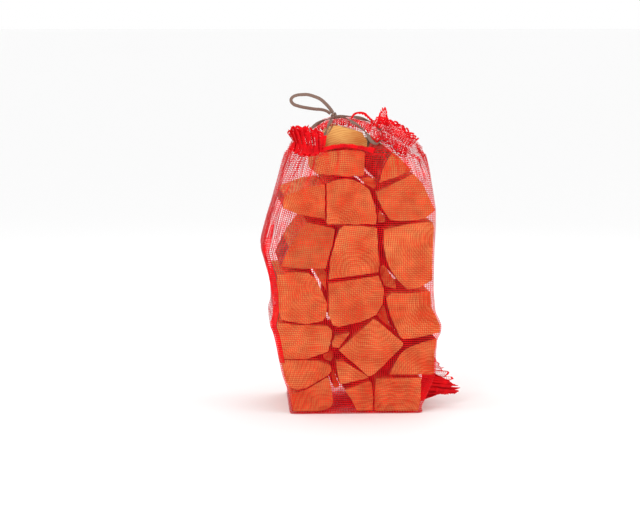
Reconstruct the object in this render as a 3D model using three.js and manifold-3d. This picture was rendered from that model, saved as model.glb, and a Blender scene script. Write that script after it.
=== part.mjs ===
// A net sack of split birch firewood: twenty-one split logs and seven sticks stacked in rows inside a
// red mesh sack, whose mouth is gathered by a brown drawstring knotted over the top log.
// Millimetres, +Z up, front towards -Y. The origin is the middle of the base.

import * as THREE from 'three';
import { mergeVertices } from 'three/addons/utils/BufferGeometryUtils.js';
import Module from 'manifold-3d';

const wasm = await Module();
wasm.setup();

// ---- driving dimensions ----

const LOG_LENGTH = 234;          // stove length, saw cut to saw cut
const LOG_FRONT = -117;          // the plane of the front saw cuts
const LOG_STEPS = 3;             // stretches along a log, so that its taper shows as facets
const BOW_SEGMENTS = 5;          // facets on each rounded bark side

const SACK_DEPTH = 244;          // front of the net to its back
const NET_WALL = 1.8;            // the net with its threads and slack, as one thin wall
const CORNER_SEGMENTS = 5;       // facets round each upright edge of the sack
const SIDE_SEGMENTS = 8;         // facets along each side of the sack

const CORD_DIAMETER = 4.4;
const CORD_SIDES = 8;
const RING_STEPS = 60;
const LOOP_STEPS = 22;
const KNOT_RADIUS = 6.5;
const TOUCH_GAP = 0.4;           // between pieces that meet face to face

// ---- finishes ----

const finish = (color, roughness) => new THREE.MeshStandardMaterial({ color, roughness, metalness: 0 });
const birchWood = () => finish('#d39a5c', 0.85);
const redNet = () => finish('#d81a22', 0.6);
const brownCord = () => finish('#54402f', 0.75);

// ---- split logs ----

// Each log is a wedge or slab split from a round. Its section is a list of corners [x, z], and a
// third number bows the edge from that corner to the next outwards by so many millimetres: a
// rounded bark side. in = how far its front cut is set back from the others, short = how much
// shorter than the rest it is, lean = how far its far end lies across and up, taper = its shrink.
const LOGS = {
  log_top: {
    corners: [[-62, 450], [-22, 454], [11, 450], [11, 463], [2, 477], [-38, 488], [-46, 487], [-58, 468]],
    in: 5, short: 18, lean: [-2, -6], taper: 0.04,
  },
  log_row2_centre: {
    corners: [[-74, 407], [-22, 403], [5, 404], [7, 444], [-22, 448], [-60, 443], [-76, 431]],
    in: 0, short: 2, lean: [-6, -4], taper: 0,
  },
  log_row2_right: {
    corners: [[32, 392], [59, 401], [86, 413], [66, 434], [54, 443, 4]],
    in: 3, short: 6, lean: [-28, 20], taper: 0.03,
  },
  log_row3_left: {
    corners: [[-131, 350], [-107, 340], [-85, 335], [-60, 331], [-60, 389], [-88, 385], [-129, 370]],
    in: 1, short: 0, lean: [-5, 0], taper: 0,
  },
  log_row3_centre: {
    corners: [[-57, 322], [25, 322], [27, 336], [24, 352], [14, 381, 12], [-57, 391]],
    in: 0, short: 4, lean: [-6, 0], taper: 0,
  },
  log_row3_right: {
    corners: [
      [28, 368], [37, 348], [50, 329, 3], [109, 331],
      [126, 345], [104, 391], [89, 407], [27, 375],
    ],
    in: 2, short: 3, lean: [-10, 0], taper: 0,
  },
  log_row4_left: {
    corners: [
      [-135, 251], [-100, 247], [-59, 247], [-54, 266],
      [-45.5, 296], [-44, 314], [-90, 325, 4],
    ],
    in: 2, short: 0, lean: [-6, 0], taper: 0,
  },
  log_row4_centre: {
    corners: [
      [-54, 229], [29, 240], [32, 252], [30, 268], [27.5, 316],
      [-14, 320], [-28, 319.5], [-37, 312], [-42, 296], [-51, 262],
    ],
    in: 0, short: 5, lean: [-6, 0], taper: 0,
  },
  log_row4_right: {
    corners: [
      [79, 211], [98, 213], [121, 226], [121, 268],
      [124, 312], [122, 325], [82, 322], [40, 312, 15],
    ],
    in: 1, short: 0, lean: [-10, 0], taper: 0,
  },
  log_row5_left: {
    corners: [
      [-134, 160], [-93, 152.5], [-64, 158], [-58, 168], [-57, 189],
      [-75, 229], [-88, 239], [-110, 242], [-141, 236, 4],
    ],
    in: 0, short: 3, lean: [-6, 0], taper: 0,
  },
  log_row5_centre: {
    corners: [
      [-54, 166], [-46, 149.5], [-36, 147.5], [2, 156.5], [27, 168],
      [38, 188], [39.5, 212], [30, 234], [-54, 221],
    ],
    in: 1, short: 0, lean: [-5, 0], taper: 0,
  },
  log_row5_right: {
    corners: [
      [66, 131], [73, 126], [98, 129], [134, 137], [135, 150], [120, 180],
      [118, 207], [74, 203], [53, 205], [43.5, 196], [49, 170],
    ],
    in: 0, short: 4, lean: [-8, 0], taper: 0,
  },
  log_row6_left: {
    corners: [
      [-134, 94], [-93, 93], [-56, 105], [-51, 120], [-48, 141],
      [-57, 150], [-93, 151], [-115, 152], [-141, 156, 3],
    ],
    in: 1, short: 2, lean: [-3, 0], taper: 0,
  },
  log_row6_wedge: {
    corners: [[-48.5, 114], [-37, 111.5], [-18, 137.5], [-43, 132], [-48, 122]],
    in: 2, short: 12, lean: [-3, 0], taper: 0,
  },
  log_row6_diamond: {
    corners: [[-37, 108], [-33, 104], [14, 62.5], [24, 67], [71, 114], [72, 120], [30, 156], [21, 160]],
    in: 0, short: 0, lean: [-4, 0], taper: 0,
  },
  log_row6_right: {
    corners: [[48, 65], [125, 65], [125, 98], [130, 126], [108, 121], [84, 112, 3], [62, 90]],
    in: 3, short: 5, lean: [-10, 0], taper: 0,
  },
  log_row7_left: {
    corners: [
      [-121, 46], [-108, 41], [-93, 43], [-55, 66], [-48.5, 73.5],
      [-51.5, 82], [-72, 89.5], [-94, 91.5], [-133, 91.5], [-130, 70, 2],
    ],
    in: 1, short: 4, lean: [-4, 0], taper: 0,
  },
  log_row7_wedge: {
    corners: [[-40, 72], [-34, 48.5], [14, 60], [4, 68], [-27, 88], [-41, 88.5]],
    in: 3, short: 10, lean: [-8, 0], taper: 0,
  },
  log_bottom_left: {
    corners: [
      [-115, 4], [-69, 4], [-52, 9], [-47, 18], [-47, 25],
      [-53, 58], [-58, 61], [-93, 40.5], [-117, 33],
    ],
    in: 0, short: 3, lean: [-2, 0], taper: 0,
  },
  log_bottom_centre: {
    corners: [[-6, 3.5], [20.5, 3.5], [21.5, 27], [19, 51], [14, 53.5], [-27, 39], [-16, 24]],
    in: 2, short: 8, lean: [-9, 0], taper: 0,
  },
  log_bottom_right: {
    corners: [[23.5, 3.5], [98, 3.5], [102, 22], [103, 59], [27, 58], [24.5, 46]],
    in: 0, short: 0, lean: [-9, 0], taper: 0,
  },
  // Split sticks that fill the gaps between the logs, behind their front cuts.
  stick_row2: {
    corners: [[10, 388], [22, 381], [27, 384], [24, 396], [14, 401], [8, 399], [0, 397]],
    in: 22, short: 50, lean: [-5, 0], taper: 0,
  },
  stick_row3: {
    corners: [[31, 322], [44, 324], [40, 334], [33, 344], [31, 336]],
    in: 26, short: 60, lean: [-6, 0], taper: 0,
  },
  stick_row4_left: {
    corners: [[-58, 208], [-57, 238], [-62, 245], [-80, 245], [-74, 233]],
    in: 24, short: 48, lean: [-5, 0], taper: 0,
  },
  stick_row4_right: {
    corners: [[42, 214], [62, 208], [60, 222], [50, 236], [42, 250], [36, 248], [34, 238], [38, 225]],
    in: 30, short: 55, lean: [-6, 0], taper: 0,
  },
  stick_row5: {
    corners: [[51, 144], [44, 172], [40, 182], [30, 166], [33, 158]],
    in: 25, short: 52, lean: [-5, 0], taper: 0,
  },
  stick_row6: {
    corners: [[-62, 90], [-50, 86], [-46, 92], [-47, 104], [-53, 101], [-62, 98]],
    in: 24, short: 46, lean: [-4, 0], taper: 0,
  },
  stick_row7: {
    corners: [[-44, 40], [-34, 43], [-37.5, 49], [-44, 71], [-45.6, 73], [-49, 62]],
    in: 22, short: 58, lean: [-6, 0], taper: 0,
  },
};

function sectionShape(corners) {
  const shape = new THREE.Shape();
  shape.moveTo(corners[0][0], corners[0][1]);
  corners.forEach(([x, z, bow = 0], index) => {
    const [nextX, nextZ] = corners[(index + 1) % corners.length];
    const edge = Math.hypot(nextX - x, nextZ - z);
    // The corners run anticlockwise, so the outward side of an edge is on its right.
    const outX = (nextZ - z) / edge;
    const outZ = (x - nextX) / edge;
    const controlX = (x + nextX) / 2 + 2 * bow * outX;
    const controlZ = (z + nextZ) / 2 + 2 * bow * outZ;
    if (bow) shape.quadraticCurveTo(controlX, controlZ, nextX, nextZ);
    else shape.lineTo(nextX, nextZ);
  });
  return shape;
}

function logGeometry({ corners, in: setBack, short, lean, taper }) {
  const length = LOG_LENGTH - short;
  const front = LOG_FRONT + setBack;
  const geometry = new THREE.ExtrudeGeometry(sectionShape(corners), {
    depth: length, steps: LOG_STEPS, bevelEnabled: false, curveSegments: BOW_SEGMENTS,
  });
  geometry.rotateX(Math.PI / 2);
  geometry.translate(0, front + length, 0);
  const middleX = corners.reduce((sum, [x]) => sum + x, 0) / corners.length;
  const middleZ = corners.reduce((sum, [, z]) => sum + z, 0) / corners.length;
  const position = geometry.attributes.position;
  for (let i = 0; i < position.count; i++) {
    const along = (position.getY(i) - front) / length;
    const keep = 1 - taper * along;
    position.setX(i, middleX + (position.getX(i) - middleX) * keep + lean[0] * along);
    position.setZ(i, middleZ + (position.getZ(i) - middleZ) * keep + lean[1] * along);
  }
  return geometry;
}

// ---- net sack ----

// The net at each height: how far it reaches left and right and how round its upright edges are.
// It is drawn tight over the logs on the right, and stands off them in a loose fold on the left.
const SACK_LEVELS = [
  { z: 0, left: -118, right: 103, corner: 10 },
  { z: 4, left: -121, right: 106, corner: 9 },
  { z: 31, left: -125, right: 118, corner: 9 },
  { z: 66, left: -137, right: 132, corner: 9 },
  { z: 90, left: -142, right: 132, corner: 9 },
  { z: 122, left: -148, right: 133, corner: 9 },
  { z: 138, left: -152, right: 140, corner: 9 },
  { z: 152, left: -158, right: 140, corner: 9 },
  { z: 173, left: -152, right: 131, corner: 9 },
  { z: 207, left: -153, right: 128, corner: 9 },
  { z: 235, left: -158, right: 128, corner: 9 },
  { z: 278, left: -170, right: 129, corner: 9 },
  { z: 317, left: -160, right: 131, corner: 9 },
  { z: 348, left: -150, right: 131, corner: 9 },
  { z: 385, left: -140, right: 126, corner: 20 },
  { z: 415, left: -132, right: 121, corner: 32 },
  { z: 432, left: -126, right: 117, corner: 36 },
];
// Above them the net is drawn over the top log from behind, and its mouth is an eye round that
// log's front end. Each ring there is eight points [x, y, z]: the front left corner, the middle of
// the front, the front right corner and so on round, anticlockwise from above.
const SHOULDER_RING = [
  [-112, -115, 443], [-25, -121.8, 440], [101, -116, 440], [107, 0, 451],
  [92, 112, 458], [-28, 120, 492], [-92, 112, 464], [-114, 0, 455],
];
const CREST_RING = [
  [-98, -118, 448], [-26, -122, 447], [56, -120, 448], [70, -60, 470],
  [48, 10, 480], [-26, 20, 499], [-72, 10, 481], [-104, -60, 463],
];
const MOUTH_RING = [
  [-82, -119, 451], [-28, -122, 455], [14, -120, 452], [26, -108, 470],
  [20, -95, 486], [-22, -88, 496], [-66, -93, 487], [-94, -108, 461],
];
const MOUTH_MIDDLE = [-28, -104, 472];

// The sewn lower corner that sticks out as an ear of folded net.
const EAR_OUTLINE = [[104, 5], [150, 6], [170, 13], [169, 21], [147, 38], [128, 72]];
const EAR_THICKNESS = 7;
const EAR_Y = -32;

// Going round anticlockwise from the front left edge: four rounded upright edges, and the sides
// between them.
function sackRing(level, inset) {
  const half = SACK_DEPTH / 2 - inset;
  const left = level.left + inset;
  const right = level.right - inset;
  const radius = Math.max(level.corner - inset, 2);
  const centres = [
    [left + radius, -half + radius, Math.PI],
    [right - radius, -half + radius, 1.5 * Math.PI],
    [right - radius, half - radius, 0],
    [left + radius, half - radius, 0.5 * Math.PI],
  ];
  const onArc = ([x, y, start], step) => {
    const angle = start + (step / CORNER_SEGMENTS) * (Math.PI / 2);
    return new THREE.Vector2(x + radius * Math.cos(angle), y + radius * Math.sin(angle));
  };
  const ring = [];
  centres.forEach((centre, index) => {
    for (let step = 0; step <= CORNER_SEGMENTS; step++) ring.push(onArc(centre, step));
    const sideStart = onArc(centre, CORNER_SEGMENTS);
    const sideEnd = onArc(centres[(index + 1) % 4], 0);
    for (let step = 1; step < SIDE_SEGMENTS; step++) {
      ring.push(sideStart.clone().lerp(sideEnd, step / SIDE_SEGMENTS));
    }
  });
  return ring;
}

// A free ring, drawn in by an inset: towards the mouth's middle, and down as far.
function freeRing(points, inset) {
  const curve = new THREE.CatmullRomCurve3(points.map((p) => new THREE.Vector3(...p)), true, 'catmullrom', 0.5);
  const count = 4 * (CORNER_SEGMENTS + SIDE_SEGMENTS);
  const middle = new THREE.Vector3(...MOUTH_MIDDLE);
  const ring = [];
  for (let i = 0; i < count; i++) {
    const point = curve.getPoint(((i - CORNER_SEGMENTS / 2) / count + 1) % 1);
    const inX = THREE.MathUtils.clamp((middle.x - point.x) / 20, -1, 1);
    const inY = THREE.MathUtils.clamp((middle.y - point.y) / 8, -1, 1);
    ring.push(point.add(new THREE.Vector3(inX, inY, -1).multiplyScalar(inset)));
  }
  return ring;
}

// One closed solid of the sack's shape, drawn in all round by an inset. The wall is the outer
// solid less the inner one, which stands higher so that the mouth stays open.
function sackSolid(inset, floor, above) {
  const rings = SACK_LEVELS.map((level, index) => {
    const z = index ? Math.max(level.z, floor + 0.5 * index) : floor;
    return sackRing(level, inset).map((point) => new THREE.Vector3(point.x, point.y, z));
  });
  [SHOULDER_RING, CREST_RING, MOUTH_RING].forEach((points) => rings.push(freeRing(points, inset)));
  if (above) rings.push(rings[rings.length - 1].map((point) => point.clone().setZ(point.z + above)));
  const profile = [new THREE.Vector2(0, floor)];
  rings.forEach((ring, index) => profile.push(new THREE.Vector2(1, index + 1)));
  profile.push(new THREE.Vector2(0, rings.length + 1));
  const count = rings[0].length;
  const geometry = new THREE.LatheGeometry(profile, count);
  const position = geometry.attributes.position;
  for (let turn = 0; turn <= count; turn++) {
    const base = turn * profile.length;
    rings.forEach((ring, index) => position.setXYZ(base + index + 1, ...ring[turn % count].toArray()));
    position.setXYZ(base, 0, 0, floor);
    position.setXYZ(base + profile.length - 1, MOUTH_MIDDLE[0], MOUTH_MIDDLE[1], MOUTH_MIDDLE[2] + above);
  }
  return geometry;
}

function toSolid(geometry) {
  geometry.deleteAttribute('normal');
  geometry.deleteAttribute('uv');
  const merged = mergeVertices(geometry, 1e-3);
  const index = merged.index.array;
  const triangles = [];
  for (let i = 0; i < index.length; i += 3) {
    const [a, b, c] = [index[i], index[i + 1], index[i + 2]];
    // At the axis a lathe's squares close up to triangles, which leaves slivers of no area.
    if (a !== b && b !== c && c !== a) triangles.push(a, b, c);
  }
  return new wasm.Manifold(new wasm.Mesh({
    numProp: 3,
    vertProperties: new Float32Array(merged.attributes.position.array),
    triVerts: new Uint32Array(triangles),
  }));
}

function fromSolid(solid) {
  const mesh = solid.getMesh();
  const geometry = new THREE.BufferGeometry();
  geometry.setAttribute('position', new THREE.BufferAttribute(mesh.vertProperties, 3));
  geometry.setIndex(new THREE.BufferAttribute(mesh.triVerts, 1));
  geometry.computeVertexNormals();
  return geometry;
}

function earGeometry() {
  const outline = EAR_OUTLINE.map(([x, z]) => new THREE.Vector2(x, z));
  const geometry = new THREE.ExtrudeGeometry(new THREE.Shape(outline), {
    depth: EAR_THICKNESS, bevelEnabled: false,
  });
  geometry.rotateX(Math.PI / 2);
  geometry.translate(0, EAR_Y + EAR_THICKNESS / 2, 0);
  return geometry;
}

function netSackGeometry() {
  const outer = toSolid(sackSolid(0, 0, 0));
  const inner = toSolid(sackSolid(NET_WALL, NET_WALL, 60));
  return fromSolid(outer.add(toSolid(earGeometry())).subtract(inner));
}

// ---- drawstring ----

const KNOT = [-44, -95, 504];

// Out of the knot, down over the top log's left shoulder into the hem at the left end of the
// mouth, along the hem that lies over the top log, to the right end of the mouth, and back up
// across the top log's right shoulder to the knot.
const RING_ROUTE = [
  [-48, -101, 497], [-53, -108, 490], [-57, -114, 481], [-62, -119, 472], [-74, -124, 464],
  [-88, -124, 457], [-99, -118, 457], [-101, -108, 464], [-94, -97, 472], [-82, -88, 482],
  [-68, -82, 492], [-50, -78, 498], [-26, -76, 502], [0, -78, 499], [20, -84, 492], [32, -92, 483],
  [37, -104, 473], [33, -116, 464], [25, -123, 458], [17, -121, 463], [13, -117, 470], [5, -112, 480],
  [-8, -106, 490], [-22, -100, 499], [-34, -97, 503],
];

// The free loop that the sack is carried by: it stands up stiffly to the left.
const LOOP_ROUTE = [
  [-46, -94, 509], [-50, -92, 515], [-58, -91, 524], [-66, -90, 531], [-77, -88, 536], [-88, -87, 539],
  [-97, -86, 539], [-106, -85, 538], [-113, -85, 535], [-116, -86, 530], [-113, -87, 524],
  [-104, -89, 520], [-90, -91, 517], [-76, -93, 515], [-64, -96, 514], [-55, -98, 511], [-50, -97, 507],
];

function cordGeometry(route, steps) {
  const points = route.map((point) => new THREE.Vector3(...point));
  const curve = new THREE.CatmullRomCurve3(points, false, 'centripetal');
  // The ends stop short of the knot.
  const knot = new THREE.Vector3(...KNOT);
  const reach = KNOT_RADIUS + CORD_DIAMETER / 2 + TOUCH_GAP;
  const clear = curve.getSpacedPoints(steps * 2).filter((point) => point.distanceTo(knot) > reach);
  const section = new THREE.Shape();
  for (let side = 0; side < CORD_SIDES; side++) {
    const angle = (side / CORD_SIDES) * 2 * Math.PI;
    const x = (CORD_DIAMETER / 2) * Math.cos(angle);
    const y = (CORD_DIAMETER / 2) * Math.sin(angle);
    if (side === 0) section.moveTo(x, y);
    else section.lineTo(x, y);
  }
  return new THREE.ExtrudeGeometry(section, {
    steps, bevelEnabled: false, extrudePath: new THREE.CatmullRomCurve3(clear, false, 'centripetal'),
  });
}

// ---- assembly ----

const bundle = new THREE.Group();

function piece(name, geometry, material) {
  const mesh = new THREE.Mesh(geometry, material);
  mesh.name = name;
  bundle.add(mesh);
  return mesh;
}

for (const [name, log] of Object.entries(LOGS)) piece(name, logGeometry(log), birchWood());
piece('net_sack', netSackGeometry(), redNet());
piece('drawstring', cordGeometry(RING_ROUTE, RING_STEPS), brownCord());
piece('drawstring_loop', cordGeometry(LOOP_ROUTE, LOOP_STEPS), brownCord());
const knot = piece('drawstring_knot', new THREE.SphereGeometry(KNOT_RADIUS, 12, 8), brownCord());
knot.position.set(...KNOT);

export default bundle;
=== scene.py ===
# %% [markdown]
# # A net sack of split birch firewood
#
# The real thing is a tube of red knitted net, sewn shut at the bottom, packed with rows of split
# logs whose sawn ends face the front, and gathered at the mouth by a flat brown drawstring.
# The measured model gives every piece its size and place. This file gives them their looks:
# sawn and split wood with bark, a net of real threads, folds where the net is slack, and a braid.

# %% Load the measured model
import math

import bmesh
import bpy
import numpy as np
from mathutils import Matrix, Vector, noise
from mathutils.bvhtree import BVHTree


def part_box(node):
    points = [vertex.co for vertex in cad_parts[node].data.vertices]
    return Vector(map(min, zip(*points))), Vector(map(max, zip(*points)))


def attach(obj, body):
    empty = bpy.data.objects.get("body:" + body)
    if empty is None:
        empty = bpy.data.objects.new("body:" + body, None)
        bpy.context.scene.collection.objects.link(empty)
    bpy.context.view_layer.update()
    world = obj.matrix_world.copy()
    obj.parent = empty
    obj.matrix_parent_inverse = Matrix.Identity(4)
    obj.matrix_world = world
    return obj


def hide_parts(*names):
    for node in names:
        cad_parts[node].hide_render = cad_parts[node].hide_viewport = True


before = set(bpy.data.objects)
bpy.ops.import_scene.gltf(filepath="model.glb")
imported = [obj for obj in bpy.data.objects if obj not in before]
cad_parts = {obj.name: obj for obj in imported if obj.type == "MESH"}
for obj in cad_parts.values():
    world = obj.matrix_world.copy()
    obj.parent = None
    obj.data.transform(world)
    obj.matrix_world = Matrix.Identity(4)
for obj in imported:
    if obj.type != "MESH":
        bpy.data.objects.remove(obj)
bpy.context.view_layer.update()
MM = 0.001

# %% [markdown]
# ## Camera, floor and light
#
# The sack is seen almost straight on, a little from the left and a little from above, through a
# long lens, so its upright edges stay upright. The floor and the air around it are near white and
# the light is broad and soft. Three large lamps do that: a key from the front left, a fill from
# the right and one from above and behind that lets the loose net glow.

# %% Camera
SACK_LOW, SACK_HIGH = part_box("net_sack")
AZIMUTH = math.radians(-3.0)
ELEVATION = math.radians(6.0)
DISTANCE = 4.2
LOOK_AT = Vector((-0.001, 0.0, 0.254))
PICTURE_WIDTH = 1.077            # metres across the picture at the sack's front

camera_data = bpy.data.cameras.new("camera")
camera = bpy.data.objects.new("camera", camera_data)
bpy.context.scene.collection.objects.link(camera)
direction = Vector((
    math.sin(AZIMUTH) * math.cos(ELEVATION),
    -math.cos(AZIMUTH) * math.cos(ELEVATION),
    math.sin(ELEVATION),
))
camera.location = LOOK_AT + direction * DISTANCE
camera.rotation_euler = (-direction).to_track_quat("-Z", "Y").to_euler()
to_front = DISTANCE + SACK_LOW.y
camera_data.sensor_width = 36.0
camera_data.lens = camera_data.sensor_width * to_front / PICTURE_WIDTH
camera_data.shift_x = -0.057
camera_data.shift_y = 0.001
bpy.context.scene.camera = camera
print("camera", round(camera_data.lens), "mm lens,", DISTANCE, "m away")

# %% Floor, air and lamps
def srgb(code):
    """A six-figure sRGB hex colour as the linear colour that the shaders work in."""
    channels = [int(code[i:i + 2], 16) / 255 for i in (1, 3, 5)]
    return [c / 12.92 if c <= 0.04045 else ((c + 0.055) / 1.055) ** 2.4 for c in channels] + [1.0]


def add(tree, kind, links=None, **settings):
    """Add a node, set its properties and socket values, and link other sockets to its inputs."""
    node = tree.nodes.new(kind)
    for name, value in settings.items():
        setattr(node, name, value)
    for socket, value in (links or {}).items():
        if isinstance(value, bpy.types.NodeSocket):
            tree.links.new(value, node.inputs[socket])
        else:
            node.inputs[socket].default_value = value
    return node


def new_material(name):
    material = bpy.data.materials.new(name)
    material.use_nodes = True
    tree = material.node_tree
    tree.nodes.clear()
    shader = add(tree, "ShaderNodeBsdfPrincipled")
    output = add(tree, "ShaderNodeOutputMaterial", {"Surface": shader.outputs["BSDF"]})
    output.location = (400, 0)
    return material, tree, shader


bpy.context.scene.view_settings.view_transform = "Standard"
world = bpy.data.worlds.new("studio air")
world.use_nodes = True
background = world.node_tree.nodes["Background"]
background.inputs["Color"].default_value = (1.0, 1.0, 1.0, 1.0)
background.inputs["Strength"].default_value = 1.0
bpy.context.scene.world = world

paper, tree, shader = new_material("matt white paper floor")
grain = add(tree, "ShaderNodeTexNoise", {"Scale": 3.0, "Detail": 3.0})
shade = add(tree, "ShaderNodeMapRange", {"Value": grain.outputs["Fac"], "To Min": 0.955, "To Max": 0.97})
tone = add(tree, "ShaderNodeCombineColor", {
    "Red": shade.outputs["Result"], "Green": shade.outputs["Result"], "Blue": shade.outputs["Result"],
})
tree.links.new(tone.outputs["Color"], shader.inputs["Base Color"])
shader.inputs["Roughness"].default_value = 0.9

bm = bmesh.new()
bmesh.ops.create_grid(bm, x_segments=1, y_segments=1, size=60.0)
mesh = bpy.data.meshes.new("floor")
bm.to_mesh(mesh)
bm.free()
floor = bpy.data.objects.new("floor", mesh)
bpy.context.scene.collection.objects.link(floor)
floor.data.materials.append(paper)


def lamp(name, place, size, watts, colour="#ffffff"):
    data = bpy.data.lights.new(name, "AREA")
    data.shape = "DISK"
    data.size = size
    data.energy = watts
    data.color = srgb(colour)[:3]
    obj = bpy.data.objects.new(name, data)
    obj.location = place
    obj.rotation_euler = (LOOK_AT - Vector(place)).to_track_quat("-Z", "Y").to_euler()
    bpy.context.scene.collection.objects.link(obj)


lamp("key lamp", (-0.9, -2.4, 1.6), 1.0, 21)
lamp("fill lamp", (1.6, -1.8, 0.9), 1.4, 5)
lamp("rim lamp", (0.3, 1.8, 1.9), 1.2, 8)
print("three lamps and a white floor")

# %% [markdown]
# ## Drawstring
#
# A flat braid, about six millimetres wide, runs round the mouth and is knotted above the top log.
# What is left over stands up as a stiff loop, the handle. A flattened ring is swept along each
# route and turned as it goes. Each route is a short list of points, the same that the measured
# model's plain tubes follow.

# %% Routes
KNOT = (-44, -95, 504)
RING_ROUTE = [
    (-48, -101, 497), (-53, -108, 490), (-57, -114, 481), (-62, -119, 472), (-74, -124, 464),
    (-88, -124, 457), (-99, -118, 457), (-101, -108, 464), (-94, -97, 472), (-82, -88, 482),
    (-68, -82, 492), (-50, -78, 498), (-26, -76, 502), (0, -78, 499), (20, -84, 492), (32, -92, 483),
    (37, -104, 473), (33, -116, 464), (25, -123, 458), (17, -121, 463), (13, -117, 470), (5, -112, 480),
    (-8, -106, 490), (-22, -100, 499), (-34, -97, 503),
]
LOOP_ROUTE = [
    (-46, -94, 509), (-50, -92, 515), (-58, -91, 524), (-66, -90, 531), (-77, -88, 536), (-88, -87, 539),
    (-97, -86, 539), (-106, -85, 538), (-113, -85, 535), (-116, -86, 530), (-113, -87, 524),
    (-104, -89, 520), (-90, -91, 517), (-76, -93, 515), (-64, -96, 514), (-55, -98, 511), (-50, -97, 507),
]
CORD_WIDTH = 5.8 * MM
CORD_THICKNESS = 1.8 * MM
CORD_TURNS = {"drawstring": 5.0, "drawstring_loop": 0.12}

# %% Braid material
# Spun polyester braid: matt, with crossing strands that catch the light in turn, painted into the colour:
# painted highlight on the strands' tops, painted shade in the grooves.
braid, tree, shader = new_material("brown polyester flat braid")
uv = add(tree, "ShaderNodeUVMap", uv_map="along")
STRAND = 1.6 * MM
strands = add(tree, "ShaderNodeMapping", {"Vector": uv.outputs["UV"], "Scale": (6.2832, 1 / STRAND, 1.0)})
left = add(tree, "ShaderNodeTexWave", {
    "Vector": strands.outputs["Vector"], "Scale": 0.5, "Distortion": 0.6,
}, bands_direction="DIAGONAL")
mirrored = add(tree, "ShaderNodeMapping", {"Vector": strands.outputs["Vector"], "Scale": (-1.0, 1.0, 1.0)})
right = add(tree, "ShaderNodeTexWave", {
    "Vector": mirrored.outputs["Vector"], "Scale": 0.5, "Distortion": 0.6,
}, bands_direction="DIAGONAL")
cross = add(tree, "ShaderNodeMath", {0: left.outputs["Fac"], 1: right.outputs["Fac"]}, operation="MAXIMUM")
# painted highlight and painted shade: the colour follows the strand height, darker in the grooves between
# strands and lighter on their tops
tint = add(tree, "ShaderNodeValToRGB", {"Fac": cross.outputs["Value"]})
tint.color_ramp.elements[0].color = srgb("#3a2a22")
tint.color_ramp.elements[1].color = srgb("#8d6e60")
tree.links.new(tint.outputs["Color"], shader.inputs["Base Color"])
ridge = add(tree, "ShaderNodeBump", {
    "Height": cross.outputs["Value"], "Strength": 0.6, "Distance": 0.0004,
})
tree.links.new(ridge.outputs["Normal"], shader.inputs["Normal"])
shader.inputs["Roughness"].default_value = 0.65


# %% Sweep a flat braid along a route
def smooth_route(route, step=None, count=None):
    """Points along a smooth curve through the route's points, a step apart or a count of stretches."""
    points = [Vector(p) * MM for p in route]
    curve = bpy.data.curves.new("route", "CURVE")
    curve.dimensions = "3D"
    spline = curve.splines.new("BEZIER")
    spline.bezier_points.add(len(points) - 1)
    for bezier, point in zip(spline.bezier_points, points):
        bezier.co = point
        bezier.handle_left_type = bezier.handle_right_type = "AUTO"
    curve.resolution_u = 16
    holder = bpy.data.objects.new("route", curve)
    bpy.context.scene.collection.objects.link(holder)
    mesh = holder.to_mesh()
    line = [v.co.copy() for v in mesh.vertices]
    holder.to_mesh_clear()
    bpy.data.objects.remove(holder)
    lengths = np.cumsum([0] + [(b - a).length for a, b in zip(line, line[1:])])
    count = count or max(2, round(lengths[-1] / step))
    wanted = np.linspace(0, lengths[-1], count + 1)
    table = np.array(line)
    return [Vector([np.interp(w, lengths, table[:, k]) for k in range(3)]) for w in wanted]


def flat_braid(name, route, turns, sides=12, step=1.5 * MM):
    """A flattened tube along a route, turned by so many full turns from end to end."""
    path = smooth_route(route, step)
    bm = bmesh.new()
    ring = bmesh.ops.create_circle(bm, cap_ends=False, segments=sides, radius=0.5)["verts"]
    bmesh.ops.scale(bm, vec=(CORD_WIDTH, CORD_THICKNESS, 1.0), verts=ring)
    section = [v.co.copy() for v in ring]
    edges = list({e for v in ring for e in v.link_edges})
    up = Vector((0, 1, 0))
    rings = []
    side = None
    for index, point in enumerate(path):
        ahead = (path[min(index + 1, len(path) - 1)] - path[max(index - 1, 0)]).normalized()
        if side is None:
            side = up.cross(ahead).normalized()
        side = (side - ahead * side.dot(ahead)).normalized()
        over = ahead.cross(side)
        angle = 2 * math.pi * turns * index / len(path)
        across = side * math.cos(angle) + over * math.sin(angle)
        flat = ahead.cross(across)
        if index:
            made = bmesh.ops.extrude_edge_only(bm, edges=edges)["geom"]
            fresh = {g for g in made if isinstance(g, bmesh.types.BMVert)}
            edges = [g for g in made if isinstance(g, bmesh.types.BMEdge) and fresh.issuperset(g.verts)]
            ring = [next(e.other_vert(v) for e in v.link_edges if e.other_vert(v) in fresh) for v in ring]
        for vert, spot in zip(ring, section):
            vert.co = point + across * spot.x + flat * spot.y
        rings.append(list(ring))
    uv = bm.loops.layers.uv.new("along")
    along = {v: (i, k) for i, loop in enumerate(rings) for k, v in enumerate(loop)}
    for face in bm.faces:
        columns = [along[l.vert][1] for l in face.loops]
        wrap = max(columns) - min(columns) > 1
        for l in face.loops:
            row, column = along[l.vert]
            l[uv].uv = ((column + (sides if wrap and column == 0 else 0)) / sides, row * step)
    bmesh.ops.holes_fill(bm, edges=[e for e in bm.edges if len(e.link_faces) == 1], sides=0)
    bmesh.ops.recalc_face_normals(bm, faces=bm.faces)
    mesh = bpy.data.meshes.new(name)
    bm.to_mesh(mesh)
    bm.free()
    mesh.polygons.foreach_set("use_smooth", [True] * len(mesh.polygons))
    mesh.materials.append(braid)
    obj = bpy.data.objects.new(name, mesh)
    bpy.context.scene.collection.objects.link(obj)
    length = sum((b - a).length for a, b in zip(path, path[1:]))
    return obj, path, length


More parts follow.
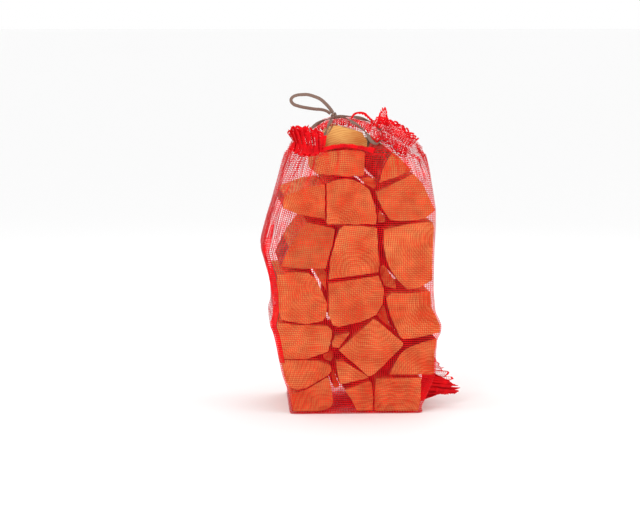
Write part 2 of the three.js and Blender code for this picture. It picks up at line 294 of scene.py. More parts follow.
# %% Make the drawstring and its loop
ring_cord, ring_path, ring_length = flat_braid("drawstring_braid", RING_ROUTE, CORD_TURNS["drawstring"])
loop_cord, loop_path, loop_length = flat_braid("carrying_loop", LOOP_ROUTE, CORD_TURNS["drawstring_loop"])
print(f"drawstring {ring_length * 1000:.0f} mm, loop {loop_length * 1000:.0f} mm")
for cord, node in ((ring_cord, "drawstring"), (loop_cord, "drawstring_loop")):
    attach(cord, "root")
    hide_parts(node)

# %% [markdown]
# ## Split logs
#
# A log is a round cut to stove length and split into wedges: two sawn ends with growth rings,
# flat faces torn along the grain, and on some a rounded side that keeps its bark. Each starts as
# a copy of the measured solid, so its size is right. Its arrises are rounded, its faces are cut
# into a fine grid, and the grid is pushed about: long shallow ridges on split faces, lumps and
# furrows on bark. The rings have to be centred on the pith, which differs from log to log, so
# each mesh carries its own grain coordinates, measured from its pith.

# %% Where each log's pith and bark are
# pith: millimetres right and up from the middle of the log's section. bark: the direction that
# the bark side faces, in degrees from right round to up, and how far either side it reaches.
LOG_LOOKS = {
    "log_top": {"pith": (10, -70), "bark": (205, 30), "shade": 0.93},
    "log_row2_centre": {"pith": (25, -75), "bark": (270, 22)},
    "log_row2_right": {"pith": (45, -20), "bark": (150, 34)},
    "log_row3_left": {"pith": (50, -60), "bark": (185, 30)},
    "log_row3_centre": {"pith": (-24, -45), "bark": (70, 38)},
    "log_row3_right": {"pith": (-35, 60), "bark": (262, 34)},
    "log_row4_left": {"pith": (-70, -15), "bark": (182, 30), "shade": 0.74},
    "log_row4_centre": {"pith": (6, -30), "bark": (170, 25)},
    "log_row4_right": {"pith": (55, 30), "bark": (220, 52)},
    "log_row5_left": {"pith": (45, 20), "bark": (180, 38)},
    "log_row5_centre": {"pith": (40, 70), "bark": (250, 36)},
    "log_row5_right": {"pith": (55, 30), "bark": (205, 34)},
    "log_row6_left": {"pith": (30, 85), "bark": (180, 30)},
    "log_row6_wedge": {"pith": (20, 40), "bark": (200, 30)},
    "log_row6_diamond": {"pith": (4, 62), "bark": (225, 24), "shade": 0.93},
    "log_row6_right": {"pith": (45, -70), "bark": (135, 36)},
    "log_row7_left": {"pith": (-60, 25), "bark": (300, 30)},
    "log_row7_wedge": {"pith": (-30, -60), "bark": (50, 36)},
    "log_bottom_left": {"pith": (25, -38), "bark": (268, 25)},
    "log_bottom_centre": {"pith": (0, 60), "bark": (268, 25)},
    "log_bottom_right": {"pith": (6, -52), "bark": (268, 20)},
    "stick_row2": {"pith": (10, 30), "bark": (90, 30)},
    "stick_row3": {"pith": (-20, 20), "bark": (30, 40)},
    "stick_row4_left": {"pith": (20, -30), "bark": (120, 40)},
    "stick_row4_right": {"pith": (-30, 10), "bark": (10, 50)},
    "stick_row5": {"pith": (30, 20), "bark": (200, 40)},
    "stick_row6": {"pith": (10, -30), "bark": (80, 30)},
    "stick_row7": {"pith": (-30, 10), "bark": (0, 40)},
}
PLAIN_SHADE = 0.95
ARRIS = 0.6 * MM
GRID = 5.0 * MM
STATIONS = 40
print(len(LOG_LOOKS), "logs")


# %% Sawn, split and bark faces
# Kiln-dried birch: honey-coloured ends with browner stains and rings, dulled by the saw; torn faces
# with long fibres; brown-grey bark with paler papery patches and dark lines across the trunk.
RING_WIDTH = 3.4 * MM
wood, tree, shader = new_material("kiln-dried birch, sawn and split, with bark")
place = add(tree, "ShaderNodeAttribute", attribute_name="grain")
bark_side = add(tree, "ShaderNodeAttribute", attribute_name="bark")
log_tone = add(tree, "ShaderNodeAttribute", attribute_name="tone")
shape = add(tree, "ShaderNodeNewGeometry")
facing = add(tree, "ShaderNodeSeparateXYZ", {"Vector": shape.outputs["True Normal"]})
endwise = add(tree, "ShaderNodeMath", {0: facing.outputs["Y"]}, operation="ABSOLUTE")
is_end = add(tree, "ShaderNodeMapRange", {
    "Value": endwise.outputs["Value"], "From Min": 0.8, "From Max": 0.9,
})

# growth rings round the pith, waving a little
across = add(tree, "ShaderNodeMapping", {"Vector": place.outputs["Vector"], "Scale": (1.0, 0.02, 1.0)})
wander = add(tree, "ShaderNodeTexNoise", {"Vector": across.outputs["Vector"], "Scale": 28.0, "Detail": 2.0})
wave_shift = add(tree, "ShaderNodeMath", {0: wander.outputs["Fac"], 1: 0.012}, operation="MULTIPLY")
radius = add(tree, "ShaderNodeVectorMath", {0: across.outputs["Vector"]}, operation="LENGTH")
ring_at = add(tree, "ShaderNodeMath", {
    0: radius.outputs["Value"], 1: wave_shift.outputs["Value"],
}, operation="ADD")
turns = add(tree, "ShaderNodeMath", {0: ring_at.outputs["Value"], 1: 1 / RING_WIDTH}, operation="MULTIPLY")
ring_phase = add(tree, "ShaderNodeMath", {0: turns.outputs["Value"]}, operation="FRACT")
late_wood = add(tree, "ShaderNodeMapRange", {
    "Value": ring_phase.outputs["Value"], "From Min": 0.45, "From Max": 1.0,
})

# broad stains, and the marks of the saw's teeth
stain = add(tree, "ShaderNodeTexNoise", {"Vector": place.outputs["Vector"], "Scale": 22.0, "Detail": 4.0})
slant = add(tree, "ShaderNodeMapping", {"Vector": place.outputs["Vector"], "Rotation": (0.0, 0.5, 0.0),
                                        "Scale": (30.0, 1.0, 900.0)})
saw = add(tree, "ShaderNodeTexNoise", {"Vector": slant.outputs["Vector"], "Scale": 1.0, "Detail": 2.0})
end_mix = add(tree, "ShaderNodeMath", {0: late_wood.outputs["Result"], 1: 0.22}, operation="MULTIPLY")
end_mix = add(tree, "ShaderNodeMath", {
    0: stain.outputs["Fac"], 1: end_mix.outputs["Value"],
}, operation="ADD")
saw_mix = add(tree, "ShaderNodeMath", {0: saw.outputs["Fac"], 1: 0.35, 2: end_mix.outputs["Value"]},
              operation="MULTIPLY_ADD")
end_tint = add(tree, "ShaderNodeValToRGB", {"Fac": saw_mix.outputs["Value"]})
end_tint.color_ramp.elements[0].color = srgb("#f4c070")
end_tint.color_ramp.elements[0].position = 0.38
end_tint.color_ramp.elements[1].color = srgb("#b9642a")
end_tint.color_ramp.elements[1].position = 1.25 / 1.3

# torn fibres run along the log
fibres = add(tree, "ShaderNodeMapping", {"Vector": place.outputs["Vector"], "Scale": (420.0, 14.0, 420.0)})
fibre = add(tree, "ShaderNodeTexNoise", {"Vector": fibres.outputs["Vector"], "Scale": 1.0, "Detail": 4.0})
split_tint = add(tree, "ShaderNodeValToRGB", {"Fac": fibre.outputs["Fac"]})
split_tint.color_ramp.elements[0].color = srgb("#a8682e")
split_tint.color_ramp.elements[0].position = 0.3
split_tint.color_ramp.elements[1].color = srgb("#eebb78")
split_tint.color_ramp.elements[1].position = 0.7

# bark: plates, furrows and short dark lines across the trunk
plates = add(tree, "ShaderNodeTexNoise", {"Vector": place.outputs["Vector"], "Scale": 45.0, "Detail": 6.0,
                                          "Roughness": 0.7})
lines = add(tree, "ShaderNodeMapping", {"Vector": place.outputs["Vector"], "Scale": (40.0, 520.0, 40.0)})
line = add(tree, "ShaderNodeTexNoise", {"Vector": lines.outputs["Vector"], "Scale": 1.0, "Detail": 1.0})
dark_line = add(tree, "ShaderNodeMapRange", {
    "Value": line.outputs["Fac"], "From Min": 0.6, "From Max": 0.7,
})
bark_tint = add(tree, "ShaderNodeValToRGB", {"Fac": plates.outputs["Fac"]})
bark_tint.color_ramp.elements[0].color = srgb("#33251c")
bark_tint.color_ramp.elements[0].position = 0.36
bark_tint.color_ramp.elements[1].color = srgb("#b5a084")
bark_tint.color_ramp.elements[1].position = 0.68
middle = bark_tint.color_ramp.elements.new(0.52)
middle.color = srgb("#6f5842")
bark_colour = add(tree, "ShaderNodeMixRGB", {
    "Fac": dark_line.outputs["Result"], "Color1": bark_tint.outputs["Color"], "Color2": srgb("#2b1f18"),
})

wood_colour = add(tree, "ShaderNodeMixRGB", {
    "Fac": is_end.outputs["Result"], "Color1": split_tint.outputs["Color"],
    "Color2": end_tint.outputs["Color"],
})
toned = add(tree, "ShaderNodeHueSaturation", {
    "Value": log_tone.outputs["Fac"], "Color": wood_colour.outputs["Color"],
})
surface = add(tree, "ShaderNodeMixRGB", {"Fac": bark_side.outputs["Fac"], "Color1": toned.outputs["Color"],
                                         "Color2": bark_colour.outputs["Color"]})
tree.links.new(surface.outputs["Color"], shader.inputs["Base Color"])
relief = add(tree, "ShaderNodeMixRGB", {"Fac": is_end.outputs["Result"], "Color1": fibre.outputs["Fac"],
                                        "Color2": saw_mix.outputs["Value"]})
relief = add(tree, "ShaderNodeMixRGB", {"Fac": bark_side.outputs["Fac"], "Color1": relief.outputs["Color"],
                                        "Color2": plates.outputs["Fac"]})
bump = add(tree, "ShaderNodeBump", {"Height": relief.outputs["Color"], "Strength": 0.5, "Distance": 0.0012})
tree.links.new(bump.outputs["Normal"], shader.inputs["Normal"])
shader.inputs["Roughness"].default_value = 0.8
shader.inputs["Specular IOR Level"].default_value = 0.2


# %% Refine a log
def is_long(edge):
    a, b = edge.verts
    return abs(a.co.y - b.co.y) > 0.5 * (a.co - b.co).length


def end_faces(bm):
    """The two many-sided faces left by the saw."""
    return [f for f in bm.faces if len(f.verts) > 4]


def refine_log(node, pith, bark, seed, shade):
    """A fine copy of a measured log, with its bark side, torn faces and grain coordinates."""
    low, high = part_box(node)
    middle = (low + high) / 2
    heart = Vector((middle.x + pith[0] * MM, middle.y, middle.z + pith[1] * MM))
    bm = bmesh.new()
    bm.from_mesh(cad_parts[node].data)
    bmesh.ops.remove_doubles(bm, verts=bm.verts, dist=0.02 * MM)
    bmesh.ops.dissolve_limit(bm, angle_limit=math.radians(0.6), verts=bm.verts, edges=bm.edges)
    arrises = [e for e in bm.edges if is_long(e) and e.calc_face_angle(0) > math.radians(32)]
    bmesh.ops.bevel(bm, geom=arrises, offset=ARRIS, segments=1, profile=0.5, material=-1, affect="EDGES",
                    clamp_overlap=True)
    for face in [f for f in bm.faces if abs(f.normal.y) < 0.5]:
        ends = [e for e in face.edges if not is_long(e)]
        cuts = round(max(e.calc_length() for e in ends) / GRID) - 1 if len(ends) == 2 else 0
        if cuts > 0:
            bmesh.ops.subdivide_edges(bm, edges=ends, cuts=cuts, use_grid_fill=True)
    lengthwise = [e for e in bm.edges if is_long(e)]
    bmesh.ops.subdivide_edges(bm, edges=lengthwise, cuts=STATIONS, use_grid_fill=True)
    bm.normal_update()
    caps = end_faces(bm)
    rim = {v for f in caps for v in f.verts}
    bark_layer = bm.faces.layers.float.new("bark")
    facing = math.radians(bark[0])
    for face in bm.faces:
        turn = abs((math.atan2(face.normal.z, face.normal.x) - facing + math.pi) % (2 * math.pi) - math.pi)
        if abs(face.normal.y) < 0.5 and turn < math.radians(bark[1]):
            face[bark_layer] = 1.0
    moves = {}
    for vert in bm.verts:
        rough = max(f[bark_layer] for f in vert.link_faces)
        spot = Vector((vert.co.x * 90, vert.co.y * 9, vert.co.z * 90 + seed * 7))
        fine = Vector((vert.co.x * 260, vert.co.y * 16, vert.co.z * 260 + seed * 3))
        lump = noise.noise(Vector((vert.co.x * 55, vert.co.y * 55, vert.co.z * 55 + seed)))
        ridge = noise.noise(spot) * 1.1 + noise.noise(fine) * 0.5
        depth = ridge * (1 - 0.5 * rough) + rough * (lump * 1.6 + 0.5 * noise.noise(fine * 1.7))
        outward = Vector((vert.normal.x, 0, vert.normal.z))
        moves[vert] = outward * (0.6 * depth - 0.2) * MM
        if vert in rim:
            moves[vert] += Vector((0, 0.35 * MM * noise.noise(fine), 0))
    for vert, move in moves.items():
        vert.co += move
    bmesh.ops.triangulate(bm, faces=end_faces(bm))
    mesh = bpy.data.meshes.new(node + "_wood")
    bm.to_mesh(mesh)
    bm.free()
    co = np.array([v.co[:] for v in mesh.vertices])
    grain = mesh.attributes.new("grain", "FLOAT_VECTOR", "POINT")
    grain.data.foreach_set("vector", (co - np.array(heart) + np.array([0, seed * 0.3, 0])).ravel())
    tone = mesh.attributes.new("tone", "FLOAT", "POINT")
    tone.data.foreach_set("value", np.full(len(co), shade + 0.08 * ((seed * 0.618) % 1.0)))
    mesh.materials.append(wood)
    obj = bpy.data.objects.new(node + "_wood", mesh)
    bpy.context.scene.collection.objects.link(obj)
    return obj


# %% Make the logs
triangles = 0
for seed, (node, look) in enumerate(LOG_LOOKS.items()):
    log = refine_log(node, look["pith"], look["bark"], seed, look.get("shade", PLAIN_SHADE))
    triangles += sum(len(p.vertices) - 2 for p in log.data.polygons)
    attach(log, "root")
    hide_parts(node)
print("logs refined,", triangles, "triangles")

# %% [markdown]
# ## The net
#
# The sack is knitted from thin red tapes, about four millimetres from one to the next, so more
# than half of it is holes. A texture with holes would look right from the front only; here every mesh
# is cut into real threads. A grid is wrapped round the measured sack, one cell for each hole of
# the net; each cell is inset, and its middle is deleted, which leaves the threads.
#
# A knitted tube has the same number of threads all the way up. Where the sack is slack the
# threads fold over each other, and red gathers into streaks. So the folds are made by sliding
# the grid sideways along itself until it overlaps, rather than by bending it outwards only.

# %% Measure the sack's sections
THREAD = 0.85 * MM
FRONT_COLUMNS = 80
SIDE_COLUMNS = 64
ROWS = 134

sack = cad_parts["net_sack"]
sack_tree = BVHTree.FromObject(sack, bpy.context.evaluated_depsgraph_get())
log_bm = bmesh.new()
for node in LOG_LOOKS:
    log_bm.from_mesh(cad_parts[node].data)
log_tree = BVHTree.FromBMesh(log_bm)
log_bm.free()
AXIS = Vector((-0.004, 0.0, 0.0))
WALL = 1.4 * MM


def reach(angle, z):
    """The point where the sack's wall is, looking out from its axis at a height, or None."""
    ray = Vector((math.cos(angle), math.sin(angle), 0))
    hit = sack_tree.ray_cast(Vector((AXIS.x, AXIS.y, z)), ray)[0]
    return None if hit is None else hit + ray * WALL


def wall_top(angle):
    """The height at which the upright wall ends in one direction: at the mouth or the roof's slope."""
    z = 0.42
    ray = Vector((math.cos(angle), math.sin(angle), 0))
    while z < SACK_HIGH.z:
        hit, normal = sack_tree.ray_cast(Vector((AXIS.x, AXIS.y, z)), ray)[:2]
        if hit is None or (abs(normal.z) > 0.6 and z > 0.437):
            break
        z += 1.5 * MM
    return max(z, 0.449)


def corner_angles(z):
    """Directions of the four upright edges at a height: front left, front right, back right, back left."""
    spots = [reach(a, z) for a in np.linspace(-math.pi, math.pi, 120, endpoint=False)]
    left, right = min(p.x for p in spots), max(p.x for p in spots)
    front, back = min(p.y for p in spots), max(p.y for p in spots)
    corners = [(left, front), (right, front), (right, back), (left, back)]
    angles = [math.atan2(y - AXIS.y, x - AXIS.x) for x, y in corners]
    return [a if i < 3 or a > 0 else a + 2 * math.pi for i, a in enumerate(angles)]


def section(z, columns):
    """Points round the sack at a height, evenly spaced on each side, from the front left edge on."""
    corners = corner_angles(z)
    ring = []
    for side, count in enumerate(columns):
        start = corners[side]
        stop = corners[(side + 1) % 4]
        if stop < start:
            stop += 2 * math.pi
        spots = np.array([reach(a, z) for a in np.linspace(start, stop, 60)])
        run = np.concatenate([[0], np.cumsum(np.linalg.norm(np.diff(spots, axis=0), axis=1))])
        at = np.linspace(0, run[-1], count, endpoint=False)
        ring.append(np.stack([np.interp(at, run, spots[:, k]) for k in range(3)], axis=1))
    return np.concatenate(ring)


COLUMNS = (FRONT_COLUMNS, SIDE_COLUMNS, FRONT_COLUMNS, SIDE_COLUMNS)
LEVELS = 64
FRONT_RIM = wall_top(-math.pi / 2)
WALL_LEVEL = min(wall_top(a) for a in np.linspace(-math.pi, math.pi, 72, endpoint=False)) - 3 * MM
heights = np.linspace(1.5 * MM, WALL_LEVEL, LEVELS)
sections = np.array([section(z, COLUMNS) for z in heights])
around = sections.shape[1]
print("sack measured at", LEVELS, "heights,", around, "threads round it")
print("front rim at", round(FRONT_RIM, 3), "walls to", round(WALL_LEVEL, 3))

# %% Wrap the grid round the sack
rows = np.linspace(0, 1, ROWS + 1)
top = sections[-1]
rims = np.array([wall_top(math.atan2(p[1] - AXIS.y, p[0] - AXIS.x)) for p in top])
kernel = np.ones(9) / 9
rims = np.convolve(np.concatenate([rims[-4:], rims, rims[:4]]), kernel, mode="valid")
net = np.zeros((ROWS + 1, around, 3))
for column in range(around):
    z = rows * rims[column]
    for k in range(2):
        net[:, column, k] = np.interp(z, heights, sections[:, column, k])
    net[:, column, 2] = np.maximum(z, 0.8 * MM)
    # above the last section the wall leans in, so there each knot goes to the nearest measured spot
    for row in np.flatnonzero(z > WALL_LEVEL):
        spot, normal = sack_tree.find_nearest(Vector(net[row, column]))[:2]
        inside = normal.dot(Vector(net[row, column]) - spot) < 0
        net[row, column] = spot if inside else spot + normal * 0.4 * MM


def outward(grid):
    """Unit vectors pointing out of the sack at every knot of the grid."""
    along = np.roll(grid, -1, axis=1) - np.roll(grid, 1, axis=1)
    up = np.gradient(grid, axis=0)
    normal = np.cross(along, up)
    return normal / np.maximum(np.linalg.norm(normal, axis=2, keepdims=True), 1e-9)


print("grid", net.shape)

# %% Let the net sink a little between the logs
SINK = 3.0 * MM
normals = outward(net)
sink = np.zeros(net.shape[:2])
for row in range(2, ROWS + 1, 2):
    for column in range(0, around, 2):
        near = log_tree.find_nearest(Vector(net[row, column]))[3]
        sink[row - 1:row + 1, column:column + 2] = min(max(near - 2.2 * MM, 0), SINK)
for _ in range(4):
    sideways = np.roll(sink, 1, 1) + np.roll(sink, -1, 1)
    upright = np.roll(sink, 1, 0) + np.roll(sink, -1, 0)
    sink = (sink + sideways + upright) / 5
sink[:2] = 0
net -= normals * sink[:, :, None]
print("deepest sink", round(float(sink.max()) * 1000, 1), "mm")

# %% Fold the slack net
# The position round the sack, in cells from the front left edge. Slack is on the left side, on
# both shoulders and round the mouth except where the hem is drawn over the top log's face.
column = np.arange(around)[None, :]
height = net[:, :, 2]
near_top = np.clip((rows[:, None] - 0.86) / 0.14, 0, 1)
taut = 1 - np.exp(-((column - FRONT_COLUMNS * 0.42) / 20.0) ** 4)
slack_mouth = 0.6 * near_top ** 1.5 * taut
left_middle = around - SIDE_COLUMNS * 0.35
from_left = np.minimum(abs(column - left_middle), abs(column - left_middle + around))
left_fold = np.exp(-(from_left / 26.0) ** 2) * np.exp(-((height - 0.30) / 0.10) ** 2)
shoulder_left = np.exp(-((column - 4) / 20.0) ** 2) * np.clip((height - 0.37) / 0.05, 0, 1)
shoulder_left += np.exp(-((column - 4 - around) / 20.0) ** 2) * np.clip((height - 0.37) / 0.05, 0, 1)
shoulder_right = np.exp(-((column - FRONT_COLUMNS - 6) / 16.0) ** 2) * np.clip((height - 0.38) / 0.05, 0, 1)
slack = np.clip(slack_mouth + 0.8 * left_fold + 0.8 * shoulder_left + 0.6 * shoulder_right, 0, 1.2)
lean = 34.0 * rows[:, None]
wave = 2 * math.pi * (column + 3.0 * np.sin(lean * 0.35) + 1.5 * np.sin(column * 0.21)) / 7.1
wave2 = 2 * math.pi * (column + 4.0 * np.cos(lean * 0.23)) / 12.3
tangent = np.roll(net, -1, axis=1) - np.roll(net, 1, axis=1)
tangent /= np.linalg.norm(tangent, axis=2, keepdims=True)
slide = slack * (4.6 * np.sin(wave) + 4.4 * np.sin(wave2)) * MM
lift = slack * (2.6 * np.cos(wave) + 2.4 * np.cos(wave2) - 1.0) * MM
net = net + tangent * slide[:, :, None] + outward(net) * lift[:, :, None]
print("largest slide", round(float(abs(slide).max()) * 1000, 1), "mm")


# %% Net material
# Knitted polyethylene tape: thin satin plastic, saturated red, a little uneven in tone.
tape, tree, shader = new_material("red knitted polyethylene tape")
where = add(tree, "ShaderNodeTexCoord")
patch = add(tree, "ShaderNodeTexNoise", {"Vector": where.outputs["Object"], "Scale": 60.0, "Detail": 3.0})
tint = add(tree, "ShaderNodeValToRGB", {"Fac": patch.outputs["Fac"]})
tint.color_ramp.elements[0].color = srgb("#c40010")
tint.color_ramp.elements[0].position = 0.3
tint.color_ramp.elements[1].color = srgb("#f80612")
tint.color_ramp.elements[1].position = 0.7
tree.links.new(tint.outputs["Color"], shader.inputs["Base Color"])
twist = add(tree, "ShaderNodeTexNoise", {"Vector": where.outputs["Object"], "Scale": 900.0, "Detail": 1.0})
tape_bump = add(tree, "ShaderNodeBump", {
    "Height": twist.outputs["Fac"], "Strength": 0.4, "Distance": 0.0004,
})
tree.links.new(tape_bump.outputs["Normal"], shader.inputs["Normal"])
shader.inputs["Roughness"].default_value = 0.5
shader.inputs["Specular IOR Level"].default_value = 0.12


# %% Cut the grid into threads
def knit(name, grid, thread=THREAD, hem_rows=0, gone=None):
    """A net over a grid of points. Every cell's middle is cut out, but for the last rows, the hem.
    gone marks the cells that are left out altogether."""
    high, wide = grid.shape[0] - 1, grid.shape[1] - 1
    bm = bmesh.new()
    bmesh.ops.create_grid(bm, x_segments=wide, y_segments=high, size=0.5)
    bm.verts.ensure_lookup_table()
    order = np.array([v.co[:] for v in bm.verts])
    cols = np.rint((order[:, 0] + 0.5) * wide).astype(int)
    lines = np.rint((order[:, 1] + 0.5) * high).astype(int)
    cell_of = {}
    for face in bm.faces:
        middle = face.calc_center_median()
        cell_of[face] = (round((middle.y + 0.5) * high - 0.5), round((middle.x + 0.5) * wide - 0.5))
    for vert, c, r in zip(bm.verts, cols, lines):
        vert.co = grid[r, c]
    if gone is not None:
        bmesh.ops.delete(bm, geom=[f for f, cell in cell_of.items() if gone[cell]], context="FACES")
        cell_of = {f: cell for f, cell in cell_of.items() if f.is_valid}
    bm.normal_update()
    cells = [f for f, cell in cell_of.items() if cell[0] < high - hem_rows]
    even = gone is None and hem_rows == 0
    bmesh.ops.inset_individual(bm, faces=cells, thickness=thread / 2, use_even_offset=even)
    bmesh.ops.delete(bm, geom=cells, context="FACES_ONLY")
    mesh = bpy.data.meshes.new(name)
    bm.to_mesh(mesh)
    bm.free()
    mesh.materials.append(tape)
    obj = bpy.data.objects.new(name, mesh)
    bpy.context.scene.collection.objects.link(obj)
    area = sum(p.area for p in mesh.polygons)
    count = sum(len(p.vertices) - 2 for p in mesh.polygons)
    print(name, count, "triangles,", round(area, 4), "square metres of thread")
    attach(obj, "root")
    return obj, area


closed = np.concatenate([net, net[:, :1]], axis=1)
split = FRONT_COLUMNS + SIDE_COLUMNS // 2
front_half = np.concatenate([closed[:, -(SIDE_COLUMNS // 2 + 1):-1], closed[:, :split + 1]], axis=1)
back_half = closed[:, split:around - SIDE_COLUMNS // 2 + 1]
front_net, front_area = knit("net_front", front_half)
back_net, back_area = knit("net_back", back_half)
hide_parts("net_sack")

# %% Draw the net over the top
# From the back edge it comes forward over the top log. Where a line straight down misses the
# measured roof is the mouth, and no net is made. Round the mouth the net is gathered in creases.
ROOF_COLUMNS = 96
ROOF_ROWS = 66
MOUTH_MIDDLE = Vector((-28, -104, 472)) * MM
BACK_Y = SACK_HIGH.y - 1 * MM
FRONT_Y = SACK_LOW.y + 2 * MM
INSIDE = 5 * MM
roof = np.zeros((ROOF_ROWS + 1, ROOF_COLUMNS + 1, 3))
open_spot = np.zeros((ROOF_ROWS + 1, ROOF_COLUMNS + 1), dtype=bool)
for r in range(ROOF_ROWS + 1):
    y = BACK_Y + (FRONT_Y - BACK_Y) * r / ROOF_ROWS
    start = Vector((AXIS.x, min(max(y, FRONT_Y + INSIDE), BACK_Y - INSIDE), FRONT_RIM - 10 * MM))
    left_end = sack_tree.ray_cast(start, Vector((-1, 0, 0)))[0]
    right_end = sack_tree.ray_cast(start, Vector((1, 0, 0)))[0]
    for c in range(ROOF_COLUMNS + 1):
        x = left_end.x + (right_end.x - left_end.x) * (0.004 + 0.992 * c / ROOF_COLUMNS)
        hit, normal = sack_tree.ray_cast(Vector((x, y, 0.6)), Vector((0, 0, -1)))[:2]
        missed = hit is None or hit.z < FRONT_RIM - 25 * MM
        edge = min(y - FRONT_Y, BACK_Y - y) < INSIDE
        if missed and edge:
            hit = sack_tree.find_nearest(Vector((x, y, FRONT_RIM)))[0]
        open_spot[r, c] = missed and not edge
        roof[r, c] = (x, y, FRONT_RIM if open_spot[r, c] else hit.z)
from_mouth = roof - np.array(MOUTH_MIDDLE)
turn = np.arctan2(from_mouth[:, :, 1], from_mouth[:, :, 0])
away = np.hypot(from_mouth[:, :, 0], from_mouth[:, :, 1])
crease = np.exp(-(away / 0.075) ** 2) * np.sin(turn * 31 + 2 * np.sin(turn * 5))
crease += 0.35 * np.sin(roof[:, :, 0] * 420 + 3 * np.sin(roof[:, :, 1] * 30))
roof[:, :, 2] += np.where(open_spot, 0, 1.6 * crease + 0.6) * MM
gone = open_spot[:-1, :-1] | open_spot[1:, :-1] | open_spot[:-1, 1:] | open_spot[1:, 1:]
roof_net, roof_area = knit("net_roof", roof[:, ::-1], gone=gone[:, ::-1])


# %% Gathered hem, frills and the lower ear
def frill(name, spine, tips, columns, rows, folds, swing, thread=1.5 * MM, hem_rows=1, seed=0.0):
    """Net gathered along a spine: it stands out from there to a free edge, in loops and creases."""
    low = np.array(smooth_route(spine, count=columns))
    high = np.array(smooth_route(tips, count=columns))
    t = np.linspace(0, 1, rows + 1)[:, None, None]
    grid = low[None] * (1 - t) + high[None] * t
    along = np.gradient((low + high) / 2, axis=0)
    along /= np.linalg.norm(along, axis=1, keepdims=True)
    across = high - low
    face = np.cross(along, across)
    face /= np.linalg.norm(face, axis=1, keepdims=True)
    s = np.linspace(0, 1, columns + 1)[None, :]
    uneven = 0.35 * np.sin(9 * s + seed) + 0.25 * t[:, :, 0] * np.sin(14 * s + seed)
    phase = 2 * math.pi * (folds * s + uneven)
    deep = 0.45 + 0.55 * t[:, :, 0]
    grid += face[None] * (swing * MM * deep * np.sin(phase))[:, :, None]
    grid += along[None] * (0.9 * swing * MM * deep * np.sin(2 * phase + 1.0 + seed))[:, :, None]
    grid += across[None] * (0.16 * t[:, :, 0] * np.sin(1.7 * phase + seed))[:, :, None]
    return knit(name, grid, thread=thread, hem_rows=hem_rows)


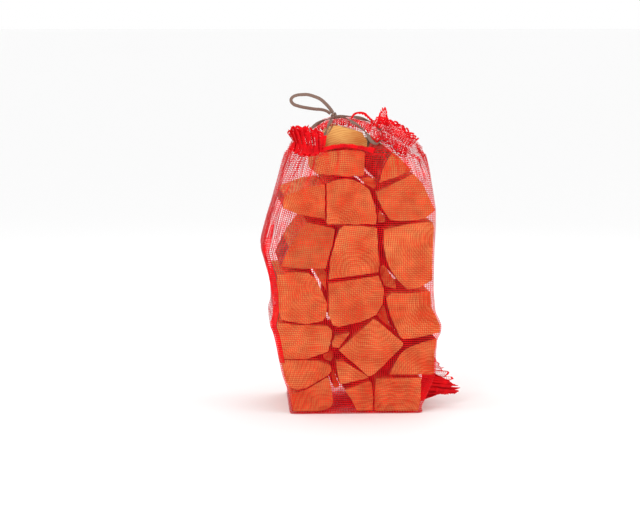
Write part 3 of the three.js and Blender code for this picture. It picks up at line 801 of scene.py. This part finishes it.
knit_pieces = [
    frill("hem_front",
          [(-92, -123, 448), (-76, -124.5, 444), (-52, -125, 449), (-27, -125, 452),
           (0, -125, 448), (20, -124, 442)],
          [(-92, -122, 456), (-76, -124, 451), (-52, -124, 455), (-27, -124, 458),
           (0, -124, 454.5), (24, -123, 450)],
          190, 5, 23, 1.1, hem_rows=2, thread=1.9 * MM),
    frill("hem_over_log",
          [(-90, -104, 467), (-70, -94, 487), (-50, -88, 495), (-22, -86, 499),
           (2, -88, 495), (22, -96, 487)],
          [(-88, -112, 462), (-66, -108, 480), (-44, -108, 490), (-20, -108, 488),
           (4, -110, 483), (16, -114, 474)],
          170, 7, 17, 2.0, seed=1.3),
    frill("frill_left",
          [(-60, -122, 456), (-72, -125, 450), (-90, -126, 450), (-106, -120, 456),
           (-106, -106, 464), (-92, -98, 476)],
          [(-60, -126, 470), (-76, -131, 480), (-96, -132, 483), (-115, -122, 483),
           (-117, -106, 478), (-88, -94, 486)],
          230, 9, 13, 5.0, seed=0.4),
    frill("frill_left_fold",
          [(-66, -123, 456), (-84, -126, 455), (-100, -124, 458), (-112, -112, 462)],
          [(-62, -126, 446), (-80, -129, 440), (-100, -127, 441), (-118, -114, 447)],
          130, 6, 8, 4.0, seed=2.2),
    frill("frill_right",
          [(16, -98, 486), (30, -96, 483), (44, -96, 476), (58, -98, 468),
           (72, -102, 458), (84, -108, 450)],
          [(22, -96, 497), (36, -92, 500), (52, -92, 494), (68, -92, 487), (84, -92, 474), (98, -98, 464)],
          150, 8, 11, 4.5, thread=1.05 * MM, seed=1.9),
    frill("frill_right_fold",
          [(18, -102, 484), (34, -102, 479), (50, -104, 471), (66, -108, 460), (80, -114, 450)],
          [(20, -122, 462), (34, -122, 464), (46, -120, 458), (60, -120, 447), (76, -122, 437)],
          110, 9, 9, 4.0, thread=0.95 * MM, seed=3.1),
    frill("frill_peak",
          [(26, -94, 490), (34, -92, 489), (42, -92, 487), (50, -92, 484)],
          [(32, -92, 500), (37, -90, 513), (41, -90, 515), (47, -91, 500)],
          40, 7, 3, 1.6, seed=0.9),
    frill("hem_loop",
          [(-16, -92, 499), (-11, -91, 507), (-2, -90, 510), (8, -89, 509), (16, -89, 502), (24, -90, 494)],
          [(-13, -92, 498), (-9, -90, 503.5), (-2, -89, 506), (6, -88, 505),
           (12, -88, 500), (20, -90, 492)],
          60, 2, 4, 0.7, hem_rows=2, seed=0.2),
    frill("lower_ear_net",
          [(126, -30, 90), (122, -30, 72), (116, -30, 52), (112, -30, 34)],
          [(130, -30, 84), (146, -31, 64), (160, -31, 46), (167, -31, 34)],
          26, 13, 2, 1.5, thread=0.95 * MM, seed=1.1),
    frill("lower_ear",
          [(113, -32, 70), (110, -33, 48), (107, -34, 24), (103, -35, 3)],
          [(140, -32, 50), (158, -33, 38), (168, -34, 27), (142, -35, 20)],
          130, 14, 8, 2.4, thread=2.3 * MM, seed=2.7),
    frill("lower_ear_hem",
          [(134, -36, 31), (150, -36, 26), (171, -35, 24)],
          [(134, -36, 21), (150, -36, 18), (171, -35, 19)],
          60, 4, 5, 0.9, hem_rows=4, seed=0.8),
]
seam = net[26:97, 0:4:3] + outward(net)[26:97, 0:4:3] * 1.0 * MM
knit_pieces.append(knit("side_seam", seam, thread=2.6 * MM))

# %% Close the bottom
edges = [net[0, :FRONT_COLUMNS + 1], net[0, FRONT_COLUMNS:FRONT_COLUMNS + SIDE_COLUMNS + 1]]
back_edge = net[0, FRONT_COLUMNS + SIDE_COLUMNS:2 * FRONT_COLUMNS + SIDE_COLUMNS + 1][::-1]
left_edge = np.concatenate([net[0, 2 * FRONT_COLUMNS + SIDE_COLUMNS:], net[0, :1]])[::-1]
u = np.linspace(0, 1, FRONT_COLUMNS + 1)[None, :, None]
v = np.linspace(0, 1, SIDE_COLUMNS + 1)[:, None, None]
bottom = (1 - v) * edges[0][None] + v * back_edge[None]
bottom += (1 - u) * left_edge[:, None] + u * edges[1][:, None]
bottom -= ((1 - u) * (1 - v) * edges[0][0] + u * (1 - v) * edges[0][-1]
           + (1 - u) * v * back_edge[0] + u * v * back_edge[-1])
bottom_net, bottom_area = knit("net_bottom", bottom[::-1])

# %% Tie the knot
# An overhand knot is a trefoil: three lobes that pass over and under each other.
lobes = [2 * math.pi * i / 36 for i in range(36)]
KNOT_ROUTE = [
    (KNOT[0] + 1.35 * (math.sin(a) + 2 * math.sin(2 * a)),
     KNOT[1] - 2.6 * math.sin(3 * a),
     KNOT[2] + 1.35 * (math.cos(a) - 2 * math.cos(2 * a)))
    for a in lobes
]
knot, _, knot_length = flat_braid("overhand_knot", KNOT_ROUTE, 1.0, step=1.0 * MM)
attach(knot, "root")
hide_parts("drawstring_knot")
print(f"knot holds {knot_length * 1000:.0f} mm of braid")
